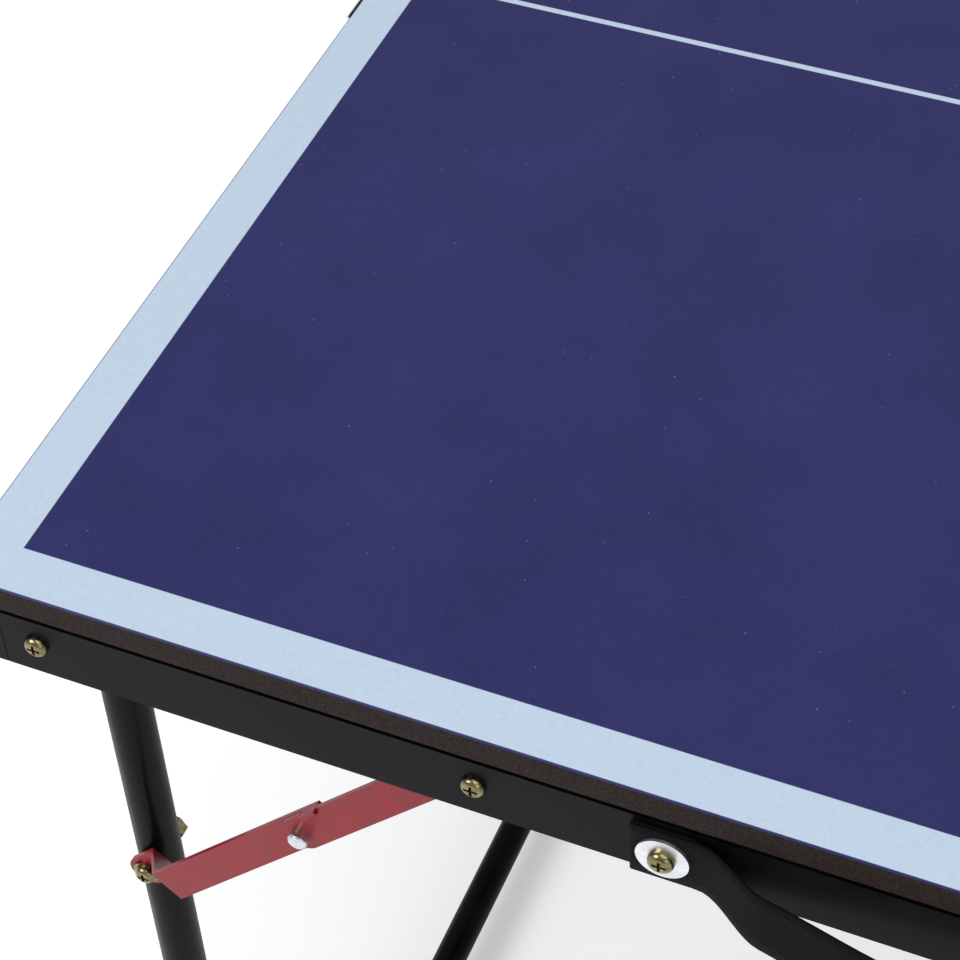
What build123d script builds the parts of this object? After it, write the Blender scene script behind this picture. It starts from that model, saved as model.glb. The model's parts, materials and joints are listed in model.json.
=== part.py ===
"""Portable ping pong table that folds in half like a suitcase.

Millimetres, +Z up. X runs along the table, Y across it, and the origin is on the floor
below the middle of the playing surface. Pieces are drawn on the left half (-X) and the
near side (-Y), and mirrored to the other half and the far side.
"""
import math
import os

from build123d import *

os.makedirs("parts", exist_ok=True)

# ---------------------------------------------------------------- driving dimensions
TABLE_LENGTH = 1524.0        # both halves, open
TABLE_WIDTH = 762.0
TABLE_HEIGHT = 700.0         # floor to playing surface
SPLIT_GAP = 0.04             # between the two boards at the middle

BOARD_THICK = 12.0
BOARD_CORNER_R = 2.0         # in plan
BOARD_EDGE = 0.6             # bevel round the playing surface
GROOVE_TALL = 3.5            # recess between the board and the rails
GROOVE_DEEP = 3.0
RAIL_TALL = 28.5
RAIL_INSET = 1.0             # board edge overhangs the rails
SHEET = 1.5                  # rail sheet steel
FLANGE = 22.0                # top flange under the board
HEM_TALL = 6.0               # folded hem along the rail's foot
CORNER_WRAP = 16.0           # end rail's return round each corner
SEAM = 0.3                   # between rail ends

TUBE_D = 19.0
TUBE_WALL = 1.2
LEG_FROM_END = 32.0          # leg centre from the end of the board
LEG_FROM_SIDE = 46.0         # leg centre from the long edge of the board
LEG_BEND_R = 55.0
TUBE_PAST_PIVOT = 8.0
FOOT_PAD = 12.0              # rubber under the cross tube
FOOT_WALL = 2.2
FOOT_LONG = 44.0
FOOT_FROM_LEG = 90.0         # foot centre from the leg centre

PIVOT_DROP = 28.0            # leg and stay pivots below the playing surface
STAY_FROM_LEG = 173.0        # stay's rail pivot from the leg's
STAY_DOWN_LEG = 189.0        # stay's leg pivot from the leg's rail pivot
STAY_WIDE = 16.4
STAY_THICK = 2.0
STAY_FROM_SIDE = 14.0        # outer face of the upper link from the long edge
TAB_START = 10.0             # locking tab from the elbow
TAB_LONG = 10.0
TAB_DEEP = 2.2               # notch in the upper link's edge
TAB_PROUD = 1.6
TAB_ARM_LOW = 1.5            # the arm to the tab starts this far above the link's middle

BOLT_D = 6.0
BOLT_HEAD_D = 9.4
BOLT_HEAD_TALL = 3.2
HEAD_ROUND = 2.6             # dome of the pan heads
NUT_FLATS = 10.0
NUT_TALL = 5.0
SLEEVE_D = 11.0
RIVET_HEAD_D = 8.0
RIVET_HEAD_TALL = 4.5
RUN_CLEAR = 0.05             # radial, pin in hole
SIDE_GAP = 0.4               # between faces that slide past each other

LINK_PIN_IN = 16.0           # centre link's pins from the split
LINK_PIN_UP = 15.5           # and up from the rail's foot
LINK_WIDE = 15.0
LINK_THICK = 4.0
LINK_PIN_D = 7.0
HEM_RELIEF = 2.0             # hem cut back past the centre link's end
CROSS_BACK = 17.5            # centre cross rail stands back from the split

HANDLE_SPACING = 211.0       # between the handle's two screws
STRAP_WIDE = 26.0
STRAP_THICK = 2.2
STRAP_LAP = 12.5             # strap past the screw, folded under
STRAP_REACH = 26.0           # how far the grip bows out from the rail
STRAP_SAG = 22.0             # how far the grip hangs below the screws
HANDLE_DROP = 31.0           # handle screws below the playing surface
WASHER_D = 19.5
WASHER_THICK = 1.2
HANDLE_SCREW_D = 5.0
HANDLE_HEAD_D = 10.0

WOOD_SCREW_D = 3.5
WOOD_SCREW_HEAD_D = 7.0
WOOD_SCREW_HEAD_TALL = 1.8
WOOD_SCREW_BITE = 8.0        # into the board
WOOD_SCREW_PITCH = 170.0     # least spacing is set by this

LATCH_WIDE = 34.0
LATCH_TALL = 22.0
LATCH_SHEET = 1.5
LATCH_EAR = 7.2              # across an ear, round its pin
LATCH_PIN_D = 3.0
LATCH_PIN_GAP = 1.2          # pin to base
LEVER_THROW = 9.0            # bail's wire above the lever's pin, closed
LEVER_TAIL = 2.2             # lever below its pin
BAIL_WIRE_D = 2.6
STRIKE_WIDE = 18.0
STRIKE_SHEET = 1.6
STRIKE_LIP = 7.0

NET_TALL = 108.0
NET_THICK = 1.6
NET_LIFT = 4.0               # net's lower edge above the playing surface
POST_OUT = 14.0              # post centre from the long edge
POST_D = 12.0
POST_WALL = 3.0              # of the socket round the post
BRACKET_SHEET = 3.0
BRACKET_LONG = 60.0          # along the table
BRACKET_GAP = 1.6            # from the long edge, clear of the rail's rivets
BRACKET_LIP = 14.0           # over the board
LIP_FROM_SPLIT = 27.0        # the clamping lip keeps off the other half
THUMB_FROM_SPLIT = 44.0
THUMB_D = 6.0
THUMB_KNOB_D = 20.0
THUMB_KNOB_TALL = 9.0

# ---------------------------------------------------------------- levels and places
top_z = TABLE_HEIGHT
board_z = top_z - BOARD_THICK                 # underside of the board
rail_z = board_z - GROOVE_TALL                # top of a rail's face
foot_z = rail_z - RAIL_TALL                   # lower edge of the rails
half_len = TABLE_LENGTH / 2
half_wide = TABLE_WIDTH / 2
split_x = SPLIT_GAP / 2
side_y = half_wide - RAIL_INSET               # outer face of a side rail
end_x = half_len - RAIL_INSET                 # outer face of an end rail
web_y = side_y - SHEET                        # inner face of a side rail
leg_x = half_len - LEG_FROM_END
leg_y = half_wide - LEG_FROM_SIDE
pivot_z = top_z - PIVOT_DROP
elbow_x = leg_x - STAY_FROM_LEG               # stay's rail pivot
stay_leg_z = pivot_z - STAY_DOWN_LEG
cross_z = FOOT_PAD + FOOT_WALL + TUBE_D / 2   # axis of the cross tube

stay_span = math.hypot(STAY_FROM_LEG, STAY_DOWN_LEG)
stay_spare = STAY_DOWN_LEG - STAY_FROM_LEG    # distance between the pivots, legs folded
lower_long = (stay_span + stay_spare) / 2
upper_long = (stay_span - stay_spare) / 2
stay_out_y = half_wide - STAY_FROM_SIDE       # outer face of the upper link
upper_in_y = stay_out_y - STAY_THICK
lower_out_y = upper_in_y - SIDE_GAP
lower_in_y = lower_out_y - STAY_THICK
ear_in_y = leg_y + TUBE_D / 2 + SIDE_GAP      # lower link's ear beside the leg
ear_out_y = ear_in_y + STAY_THICK

link_z = foot_z + LINK_PIN_UP
link_out_y = web_y - SIDE_GAP
link_in_y = link_out_y - LINK_THICK

HALVES = ("left", "right")


# ---------------------------------------------------------------- helpers
def save(piece, name, half="left", both_sides=False):
    """Mirror a finished left near piece where it belongs and write it as a STEP file."""
    with BuildPart() as placed:
        for on_far in ([False, True] if both_sides else [False]):
            copy = piece.mirror(Plane.XZ) if on_far else piece
            add(copy.mirror(Plane.YZ) if half == "right" else copy)
    placed.part.label = name
    export_step(placed.part, f"parts/{name}.step")


def box_between(low, high, mode=Mode.ADD):
    """A box given by two opposite corners, in the part being built."""
    with Locations(tuple((a + b) / 2 for a, b in zip(low, high))):
        Box(*(abs(b - a) for a, b in zip(low, high)), mode=mode)


def outward(x, y, z):
    """A plane on the near side whose normal points out of the table."""
    return Plane(origin=(x, -y, z), x_dir=(1, 0, 0), z_dir=(0, -1, 0))


def recess(head_tall, span=5.2, slot=1.1, deep=1.7):
    """Cut a cross recess into the top of a head that stands on the local plane."""
    with Locations((0, 0, head_tall - deep / 2)):
        Box(span, slot, deep, mode=Mode.SUBTRACT)
        Box(slot, span, deep, mode=Mode.SUBTRACT)


def rail_section(plane):
    """Rolled rail section: local +X points into the table, local +Y up from the foot."""
    top = RAIL_TALL + GROOVE_TALL
    deep = GROOVE_DEEP
    with BuildSketch(plane) as section:
        with BuildLine():
            Polyline(
                (0, 0), (0, RAIL_TALL), (deep, RAIL_TALL), (deep, top),
                (deep + FLANGE, top), (deep + FLANGE, top - SHEET),
                (deep + SHEET, top - SHEET), (deep + SHEET, RAIL_TALL - SHEET),
                (SHEET, RAIL_TALL - SHEET), (SHEET, HEM_TALL),
                (2 * SHEET, HEM_TALL), (2 * SHEET, 0), close=True,
            )
        make_face()
    return section


# ---------------------------------------------------------------- boards and rails
def screw_places():
    """Wood screws up through the rail flanges: along both side rails and the end rail."""
    inset = GROOVE_DEEP + FLANGE * 0.6 + RAIL_INSET
    along = max(2, int((half_len - 2 * LEG_FROM_END) // WOOD_SCREW_PITCH) + 1)
    run = half_len - 2 * inset - 2 * LEG_FROM_END
    xs = [half_len - inset - LEG_FROM_END - run * i / (along - 1) for i in range(along)]
    across = (-0.55, 0.0, 0.55)
    places = [(-x, s * (half_wide - inset)) for x in xs for s in (-1, 1)]
    places += [(-(half_len - inset), f * half_wide) for f in across]
    places += [(-(CROSS_BACK + FLANGE * 0.6), f * half_wide) for f in across]
    return places


def make_board(half):
    with BuildPart() as board:
        box_between((-half_len, -half_wide, board_z), (-split_x, half_wide, top_z))
        outer = board.edges().filter_by(Axis.Z).group_by(Axis.X)[0]
        fillet(outer, BOARD_CORNER_R)
        rim = board.faces().sort_by(Axis.Z)[-1].edges()
        chamfer(rim.sort_by(Axis.X)[:-1], BOARD_EDGE)
        with Locations(*[(x, y, board_z + WOOD_SCREW_BITE / 2) for x, y in screw_places()]):
            Cylinder(WOOD_SCREW_D / 2, WOOD_SCREW_BITE, mode=Mode.SUBTRACT)
    save(board.part, f"{half}_board", half)


def drill_flange(places):
    with Locations(*[(x, y, board_z - SHEET / 2) for x, y in places]):
        Cylinder(WOOD_SCREW_D / 2, 3 * SHEET, mode=Mode.SUBTRACT)


def make_side_rail(half):
    start_x = -(end_x - CORNER_WRAP - SEAM)
    plane = Plane(origin=(start_x, -side_y, foot_z), x_dir=(0, 1, 0), z_dir=(1, 0, 0))
    with BuildPart() as rail:
        section = rail_section(plane)
        extrude(section.sketch, amount=-split_x - start_x)
        # the web's lower end is rounded about the centre link's pin
        with BuildSketch(outward(0, side_y + 1, foot_z)):
            with BuildLine():
                Line((0, 0), (0, LINK_PIN_UP))
                RadiusArc((0, LINK_PIN_UP), (-LINK_PIN_IN, LINK_PIN_UP - LINK_PIN_IN), LINK_PIN_IN)
                Polyline((-LINK_PIN_IN, LINK_PIN_UP - LINK_PIN_IN), (0, LINK_PIN_UP - LINK_PIN_IN), (0, 0))
            make_face()
        extrude(amount=-(2 * SHEET + 2), mode=Mode.SUBTRACT)
        # the hem stops short of the centre link, which swings down past it
        box_between((-(LINK_PIN_IN + LINK_WIDE / 2 + HEM_RELIEF), -web_y, foot_z - 1),
                    (1, -(web_y - 2 * SHEET), foot_z + HEM_TALL), mode=Mode.SUBTRACT)
        holes = [
            (-leg_x, pivot_z, BOLT_D), (-elbow_x, pivot_z, BOLT_D),
            (-LINK_PIN_IN, link_z, LINK_PIN_D),
        ]
        if half == "left":
            holes.append((-THUMB_FROM_SPLIT, foot_z + RAIL_TALL * 0.5, THUMB_D + 2 * RUN_CLEAR))
        for x, z, size in holes:
            with BuildSketch(outward(x, side_y + 1, z)):
                Circle(size / 2)
            extrude(amount=-(SHEET + 2), mode=Mode.SUBTRACT)
        drill_flange([p for p in screw_places() if p[1] < -half_wide * 0.9])
    near = rail.part
    with BuildPart() as near_rail:
        add(near)
        if half == "left":
            for x in handle_xs():
                with BuildSketch(outward(x, side_y + 1, top_z - HANDLE_DROP)):
                    Circle(HANDLE_SCREW_D / 2)
                extrude(amount=-(SHEET + 2), mode=Mode.SUBTRACT)
    save(near_rail.part, f"{half}_near_rail", half)
    save(near.mirror(Plane.XZ), f"{half}_far_rail", half)


def make_end_rail(half):
    """End rail with a return round each corner, meeting the side rails at a seam."""
    wrap_x = -(end_x - CORNER_WRAP)
    flange_y = side_y - GROOVE_DEEP - FLANGE - SEAM
    with BuildPart() as rail:
        across = rail_section(
            Plane(origin=(-end_x, -side_y, foot_z), x_dir=(1, 0, 0), z_dir=(0, -1, 0))
        )
        extrude(across.sketch, amount=-2 * side_y)
        for s in (-1, 1):
            box_between((wrap_x, s * flange_y, foot_z), (-half_len / 2, s * half_wide, board_z),
                        mode=Mode.SUBTRACT)
        for s in (-1, 1):
            plane = Plane(origin=(-end_x, s * side_y, foot_z), x_dir=(0, -s, 0), z_dir=(-s, 0, 0))
            returned = rail_section(plane)
            extrude(returned.sketch, amount=-s * CORNER_WRAP)
        # the recess under the board runs round both corners
        box_between((-end_x, -side_y, rail_z), (-end_x + GROOVE_DEEP, side_y, board_z),
                    mode=Mode.SUBTRACT)
        for s in (-1, 1):
            box_between((-end_x, s * side_y, rail_z), (wrap_x, s * (side_y - GROOVE_DEEP), board_z),
                        mode=Mode.SUBTRACT)
        drill_flange([p for p in screw_places() if p[0] < -half_len * 0.9
                      and abs(p[1]) < half_wide * 0.9])
    save(rail.part, f"{half}_end_rail", half)


def make_cross_rail(half):
    """Channel across the middle of the table, under the split edge of the board."""
    reach = side_y - GROOVE_DEEP - FLANGE - SEAM
    plane = Plane(origin=(-CROSS_BACK, -reach, foot_z), x_dir=(-1, 0, 0), z_dir=(0, 1, 0))
    top = RAIL_TALL + GROOVE_TALL
    with BuildPart() as rail:
        with BuildSketch(plane):
            with BuildLine():
                Polyline(
                    (0, 1), (0, top), (FLANGE, top), (FLANGE, top - SHEET),
                    (SHEET, top - SHEET), (SHEET, 1 + SHEET),
                    (FLANGE * 0.6, 1 + SHEET), (FLANGE * 0.6, 1), close=True,
                )
            make_face()
        extrude(amount=2 * reach)
        drill_flange([p for p in screw_places() if p[0] > -half_len * 0.1
                      and abs(p[1]) < half_wide * 0.9])
    save(rail.part, f"{half}_cross_rail", half)


def make_wood_screws(half):
    with BuildPart() as screws:
        for x, y in screw_places():
            with Locations((x, y, board_z - SHEET / 2 + WOOD_SCREW_BITE / 2)):
                Cylinder(WOOD_SCREW_D / 2, WOOD_SCREW_BITE + SHEET)
            with Locations((x, y, board_z - SHEET - WOOD_SCREW_HEAD_TALL / 2)):
                Cylinder(WOOD_SCREW_HEAD_D / 2, WOOD_SCREW_HEAD_TALL)
            with Locations((x, y, board_z - SHEET - WOOD_SCREW_HEAD_TALL + 0.5)):
                Box(3.6, 0.9, 1.0, mode=Mode.SUBTRACT)
                Box(0.9, 3.6, 1.0, mode=Mode.SUBTRACT)
    save(screws.part, f"{half}_board_screws", half)


# ---------------------------------------------------------------- leg frames
def make_leg_frame(half):
    top = pivot_z + TUBE_PAST_PIVOT
    with BuildPart() as frame:
        with BuildLine() as path:
            FilletPolyline(
                (-leg_x, -leg_y, top), (-leg_x, -leg_y, cross_z),
                (-leg_x, leg_y, cross_z), (-leg_x, leg_y, top), radius=LEG_BEND_R,
            )
        with BuildSketch(Plane(origin=(-leg_x, -leg_y, top), z_dir=(0, 0, -1))):
            Circle(TUBE_D / 2)
            Circle(TUBE_D / 2 - TUBE_WALL, mode=Mode.SUBTRACT)
        sweep(path=path.line)
        for z, clear in ((pivot_z, RUN_CLEAR), (stay_leg_z, 0)):
            with Locations(Plane(origin=(-leg_x, 0, z), z_dir=(0, 1, 0))):
                Cylinder(BOLT_D / 2 + clear, TABLE_WIDTH, mode=Mode.SUBTRACT)
    save(frame.part, f"{half}_leg_frame", half)


def make_leg_plugs(half):
    """Plastic plugs in the upper ends of the leg tubes, notched round the pivot bolt."""
    top = pivot_z + TUBE_PAST_PIVOT
    inner = TUBE_D / 2 - TUBE_WALL
    deep = TUBE_PAST_PIVOT - BOLT_D / 2 - 1
    with BuildPart() as plug:
        with Locations((-leg_x, -leg_y, top - deep / 2)):
            Cylinder(inner, deep)
        with Locations((-leg_x, -leg_y, top + 0.75)):
            Cylinder(TUBE_D / 2, 1.5)
    save(plug.part, f"{half}_leg_plugs", half, both_sides=True)


def make_feet(half):
    """Rubber feet pushed round the cross tube, with a flat pad on the floor."""
    y = leg_y - FOOT_FROM_LEG
    outer = TUBE_D / 2 + FOOT_WALL
    with BuildPart() as foot:
        with BuildSketch(Plane(origin=(-leg_x, -y - FOOT_LONG / 2, cross_z), x_dir=(1, 0, 0),
                               z_dir=(0, -1, 0)).offset(-FOOT_LONG)):
            Circle(outer)
            with Locations((0, -cross_z / 2)):
                Rectangle(2 * outer, cross_z)
            Circle(TUBE_D / 2, mode=Mode.SUBTRACT)
        extrude(amount=FOOT_LONG)
        fillet(foot.edges().filter_by(Axis.Y).group_by(Axis.Z)[0], 1.5)
    save(foot.part, f"{half}_feet", half, both_sides=True)


def make_leg_bolts(half):
    """Leg pivot bolts: head outside the rail, nut beyond the leg."""
    inner_end = leg_y - TUBE_D / 2 - SIDE_GAP
    with BuildPart(outward(-leg_x, side_y, pivot_z)) as bolt:
        with Locations((0, 0, BOLT_HEAD_TALL / 2)):
            Cylinder(BOLT_HEAD_D / 2, BOLT_HEAD_TALL)
        fillet(bolt.edges().filter_by(GeomType.CIRCLE).sort_by(Axis.Y)[0], HEAD_ROUND)
        recess(BOLT_HEAD_TALL)
        long = side_y - inner_end + NUT_TALL + 1.5
        with Locations((0, 0, -long / 2)):
            Cylinder(BOLT_D / 2, long)
    save(bolt.part, f"{half}_leg_pivot_bolts", half, both_sides=True)

    with BuildPart() as nut:
        with BuildSketch(outward(-leg_x, inner_end - NUT_TALL, pivot_z)):
            RegularPolygon(NUT_FLATS / 2, 6, major_radius=False)
            Circle(BOLT_D / 2, mode=Mode.SUBTRACT)
        extrude(amount=NUT_TALL)
    save(nut.part, f"{half}_leg_pivot_nuts", half, both_sides=True)


# ---------------------------------------------------------------- folding stays
def stay_plane(u, y):
    """A plane in the stay's own plane, u millimetres from its leg pivot towards the rail."""
    unit = (STAY_FROM_LEG / stay_span, 0, STAY_DOWN_LEG / stay_span)
    origin = (-leg_x + u * unit[0], -y, stay_leg_z + u * unit[2])
    return Plane(origin=origin, x_dir=unit, z_dir=(0, -1, 0))


def make_stay(half, side):
    far = side == "far"
    wide = STAY_WIDE / 2
    tab_end = TAB_START + TAB_LONG
    joggle = STAY_WIDE * 0.9
    step = lower_in_y - ear_in_y

    # lower link: an ear on the leg, a joggle, the bar, and the tab past the elbow
    with BuildPart() as lower:
        face_on = stay_plane(0, ear_in_y)
        side_view = Plane(origin=face_on.origin, x_dir=face_on.x_dir, z_dir=-face_on.y_dir)
        with BuildSketch(side_view):
            with BuildLine():
                Polyline(
                    (-wide, 0), (joggle, 0), (joggle + step, step),
                    (lower_long + tab_end, step),
                    (lower_long + tab_end, (step + STAY_THICK)),
                    (joggle + step, (step + STAY_THICK)),
                    (joggle, STAY_THICK), (-wide, STAY_THICK), close=True,
                )
            make_face()
        extrude(amount=wide, both=True)
        with BuildSketch(stay_plane(0, 0)):
            Circle(wide)
            with Locations((lower_long / 2 + tab_end / 2, 0)):
                Rectangle(lower_long + tab_end, STAY_WIDE)
            with Locations((lower_long + tab_end, -wide)):
                Rectangle(2 * tab_end, STAY_WIDE + 2 * TAB_ARM_LOW, mode=Mode.SUBTRACT)
            with Locations((lower_long, 0)):
                Circle(wide)
            Circle(BOLT_D / 2 + RUN_CLEAR, mode=Mode.SUBTRACT)
        extrude(amount=TABLE_WIDTH, mode=Mode.INTERSECT)
        # the locking tab is bent out over the upper link
        with BuildSketch(stay_plane(lower_long + TAB_START, lower_out_y)):
            with Locations((TAB_LONG / 2, wide - TAB_DEEP / 2 + SIDE_GAP / 2)):
                Rectangle(TAB_LONG, TAB_DEEP - SIDE_GAP)
        extrude(amount=stay_out_y - lower_out_y + TAB_PROUD)
        # peened end of the elbow rivet
        with BuildSketch(stay_plane(lower_long, lower_in_y)):
            Circle(RIVET_HEAD_D * 0.4)
        extrude(amount=-1.2)
    lower_part = lower.part.mirror(Plane.XZ) if far else lower.part
    save(lower_part, f"{half}_{side}_stay_lower", half)

    # upper link, in front of the lower one
    with BuildPart() as upper:
        with BuildSketch(stay_plane(lower_long + upper_long / 2, upper_in_y)):
            SlotCenterToCenter(upper_long, STAY_WIDE)
            notch_mid = -upper_long / 2 + TAB_START + TAB_LONG / 2
            with Locations((notch_mid, wide)):
                Rectangle(TAB_LONG + 2 * SIDE_GAP, 2 * TAB_DEEP, mode=Mode.SUBTRACT)
            with Locations((upper_long / 2, 0)):
                Circle(BOLT_D / 2 + RUN_CLEAR, mode=Mode.SUBTRACT)
            with Locations((-upper_long / 2, 0)):
                Circle(RIVET_HEAD_D * 0.3, mode=Mode.SUBTRACT)
        extrude(amount=STAY_THICK)
    upper_part = upper.part.mirror(Plane.XZ) if far else upper.part
    save(upper_part, f"{half}_{side}_stay_upper", half)

    with BuildPart() as rivet:
        with BuildSketch(stay_plane(lower_long, upper_in_y)):
            Circle(RIVET_HEAD_D * 0.3)
        extrude(amount=STAY_THICK)
        with BuildSketch(stay_plane(lower_long, stay_out_y)):
            Circle(RIVET_HEAD_D / 2)
        extrude(amount=RIVET_HEAD_TALL)
        chamfer(rivet.edges().filter_by(GeomType.CIRCLE).sort_by(Axis.Y)[0], 0.6)
    rivet_part = rivet.part.mirror(Plane.XZ) if far else rivet.part
    save(rivet_part, f"{half}_{side}_stay_rivet", half)


def make_stay_bolts(half):
    # rail pivots: the pin ends flush with the upper link's inner face
    with BuildPart(outward(-elbow_x, side_y, pivot_z)) as pin:
        with Locations((0, 0, BOLT_HEAD_TALL / 2)):
            Cylinder(BOLT_HEAD_D / 2, BOLT_HEAD_TALL)
        fillet(pin.edges().filter_by(GeomType.CIRCLE).sort_by(Axis.Y)[0], HEAD_ROUND)
        recess(BOLT_HEAD_TALL)
        long = side_y - upper_in_y
        with Locations((0, 0, -long / 2)):
            Cylinder(BOLT_D / 2, long)
    save(pin.part, f"{half}_stay_rail_pins", half, both_sides=True)

    # leg pivots: head outside the ear, nut on the leg's inner side
    head_y = ear_out_y + SIDE_GAP / 2
    inner_end = leg_y - TUBE_D / 2
    with BuildPart(outward(-leg_x, head_y, stay_leg_z)) as bolt:
        with Locations((0, 0, 0.5)):
            Cylinder(BOLT_HEAD_D / 2 + 1.3, 1.0)
        with Locations((0, 0, 1 + BOLT_HEAD_TALL / 2)):
            Cylinder(BOLT_HEAD_D / 2, BOLT_HEAD_TALL)
        fillet(bolt.edges().filter_by(GeomType.CIRCLE).sort_by(Axis.Y)[0], HEAD_ROUND)
        recess(1 + BOLT_HEAD_TALL)
        long = head_y - inner_end + NUT_TALL + 1.5
        with Locations((0, 0, -long / 2)):
            Cylinder(BOLT_D / 2, long)
    save(bolt.part, f"{half}_stay_leg_bolts", half, both_sides=True)

    with BuildPart() as nut:
        with BuildSketch(outward(-leg_x, inner_end - NUT_TALL, stay_leg_z)):
            RegularPolygon(NUT_FLATS / 2, 6, major_radius=False)
            Circle(BOLT_D / 2, mode=Mode.SUBTRACT)
        extrude(amount=NUT_TALL)
    save(nut.part, f"{half}_stay_leg_nuts", half, both_sides=True)


def make_sleeves(half):
    """Spacers on the rail's bolts, from its inner face to the leg tube and to the stay."""
    spans = ((leg_x, leg_y + TUBE_D / 2 + SIDE_GAP), (elbow_x, stay_out_y + SIDE_GAP / 2))
    with BuildPart() as sleeves:
        for x, inner_y in spans:
            with BuildSketch(outward(-x, inner_y, pivot_z)):
                Circle(SLEEVE_D / 2)
                Circle(BOLT_D / 2, mode=Mode.SUBTRACT)
            extrude(amount=web_y - inner_y)
    save(sleeves.part, f"{half}_sleeves", half, both_sides=True)


# ---------------------------------------------------------------- centre links
def make_centre_links():
    with BuildPart() as link:
        with BuildSketch(outward(0, link_in_y, link_z)):
            SlotCenterToCenter(2 * LINK_PIN_IN, LINK_WIDE)
            with GridLocations(2 * LINK_PIN_IN, 1, 2, 1):
                Circle(LINK_PIN_D / 2 + RUN_CLEAR, mode=Mode.SUBTRACT)
        extrude(amount=LINK_THICK)
    save(link.part, "centre_links", both_sides=True)


def make_link_pins(half):
    with BuildPart(outward(-LINK_PIN_IN, side_y, link_z)) as pin:
        with Locations((0, 0, 1.0)):
            Cylinder(LINK_PIN_D / 2 + 2.2, 2.0)
        fillet(pin.edges().filter_by(GeomType.CIRCLE).sort_by(Axis.Y)[0], 1.4)
        inner = link_in_y - SIDE_GAP / 2
        long = side_y - inner
        with Locations((0, 0, -long / 2)):
            Cylinder(LINK_PIN_D / 2, long)
        with Locations((0, 0, -long - 0.75)):
            Cylinder(LINK_PIN_D / 2 + 1.2, 1.5)
    save(pin.part, f"{half}_link_pins", half, both_sides=True)


# ---------------------------------------------------------------- carrying handle
def handle_xs():
    middle = -half_len / 2
    return (middle - HANDLE_SPACING / 2, middle + HANDLE_SPACING / 2)


def wave(x0, x1, level, height, z=None):
    """Four tangent arcs from x0 to x1 that rise by height at the middle and come back."""
    quarter = (x1 - x0) / 4
    steps = [(0, 0), (1, 0.5), (2, 1), (3, 0.5), (4, 0)]
    points = [(x0 + i * quarter, level + f * height) for i, f in steps]
    if z is not None:
        points = [(x, y, z) for x, y in points]
    arc = None
    for i, (a, b) in enumerate(zip(points, points[1:])):
        heading = (1, 0) if i in (0, 2) else arc % 1
        arc = TangentArc(a, b, tangent=heading)


def make_handle():
    z = top_z - HANDLE_DROP
    left, right = handle_xs()
    face = side_y
    # the strap leaves the rail past each washer, bows out and hangs between the screws
    bow_start = left + WASHER_D / 2 + 3
    bow_end = right - WASHER_D / 2 - 3
    near = -(face + STRAP_THICK / 2 + 0.2)
    with BuildPart() as strap:
        with BuildLine() as path:
            Line((left - STRAP_LAP, near, z), (bow_start, near, z))
            wave(bow_start, bow_end, near, -STRAP_REACH, z)
            Line((bow_end, near, z), (right + STRAP_LAP, near, z))
        with BuildSketch(Plane(origin=(left - STRAP_LAP, near, z), x_dir=(0, 1, 0), z_dir=(1, 0, 0))):
            Rectangle(STRAP_THICK, STRAP_WIDE + 2 * STRAP_SAG)
        sweep(path=path.line)
        with BuildSketch(Plane.XZ) as hang:
            with BuildLine():
                for level in (z + STRAP_WIDE / 2, z - STRAP_WIDE / 2):
                    Line((left - STRAP_LAP, level), (bow_start, level))
                    wave(bow_start, bow_end, level, -STRAP_SAG)
                    Line((bow_end, level), (right + STRAP_LAP, level))
                for x in (left - STRAP_LAP, right + STRAP_LAP):
                    Line((x, z + STRAP_WIDE / 2), (x, z - STRAP_WIDE / 2))
            make_face()
        extrude(hang.sketch, amount=TABLE_WIDTH, mode=Mode.INTERSECT)
        for x in (left, right):
            with BuildSketch(outward(x, face - 1, z)):
                Circle(HANDLE_SCREW_D / 2)
            extrude(amount=STRAP_THICK + 3, mode=Mode.SUBTRACT)
    strap.part.label = "handle_strap"
    export_step(strap.part, "parts/handle_strap.step")

    seat = face + 0.2 + STRAP_THICK
    with BuildPart() as washers:
        for x in (left, right):
            with BuildSketch(outward(x, seat, z)):
                Circle(WASHER_D / 2)
                Circle(HANDLE_SCREW_D / 2, mode=Mode.SUBTRACT)
            extrude(amount=WASHER_THICK)
    save(washers.part, "handle_washers")

    heads = []
    for x in (left, right):
        with BuildPart(outward(x, seat + WASHER_THICK, z)) as screw:
            with Locations((0, 0, 1.7)):
                Cylinder(HANDLE_HEAD_D / 2, 3.4)
            fillet(screw.edges().filter_by(GeomType.CIRCLE).sort_by(Axis.Y)[0], HEAD_ROUND)
            recess(3.4)
            long = STRAP_THICK + WASHER_THICK + SHEET + 6
            with Locations((0, 0, -long / 2)):
                Cylinder(HANDLE_SCREW_D / 2, long)
        heads.append(screw.part)
    with BuildPart() as screws:
        add(heads)
    save(screws.part, "handle_screws")

    with BuildPart() as nuts:
        for x in (left, right):
            with BuildSketch(outward(x, web_y - 4.0, z)):
                RegularPolygon(4.0, 6, major_radius=False)
                Circle(HANDLE_SCREW_D / 2, mode=Mode.SUBTRACT)
            extrude(amount=4.0)
    save(nuts.part, "handle_nuts")



# ---------------------------------------------------------------- draw latch on the ends
latch_z = (foot_z + rail_z) / 2 + 1.5          # middle of the latch's base
latch_face = end_x + LATCH_SHEET
latch_pin_x = latch_face + LATCH_PIN_GAP + LATCH_PIN_D / 2
latch_pin_z = latch_z - LATCH_TALL / 2 + LATCH_EAR / 2
bail_x = latch_pin_x + (LATCH_PIN_D + BAIL_WIRE_D) / 2 + SIDE_GAP
bail_top_z = latch_pin_z + LEVER_THROW
shelf_z = latch_z - 1.4                        # strike's shelf, table open
closed_gap = 2 * (LINK_PIN_IN - LINK_PIN_UP)   # between the rails' feet, table closed
shelf_closed_z = 2 * foot_z - closed_gap - shelf_z
bail_foot_z = shelf_closed_z - BAIL_WIRE_D / 2 - SIDE_GAP


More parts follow.
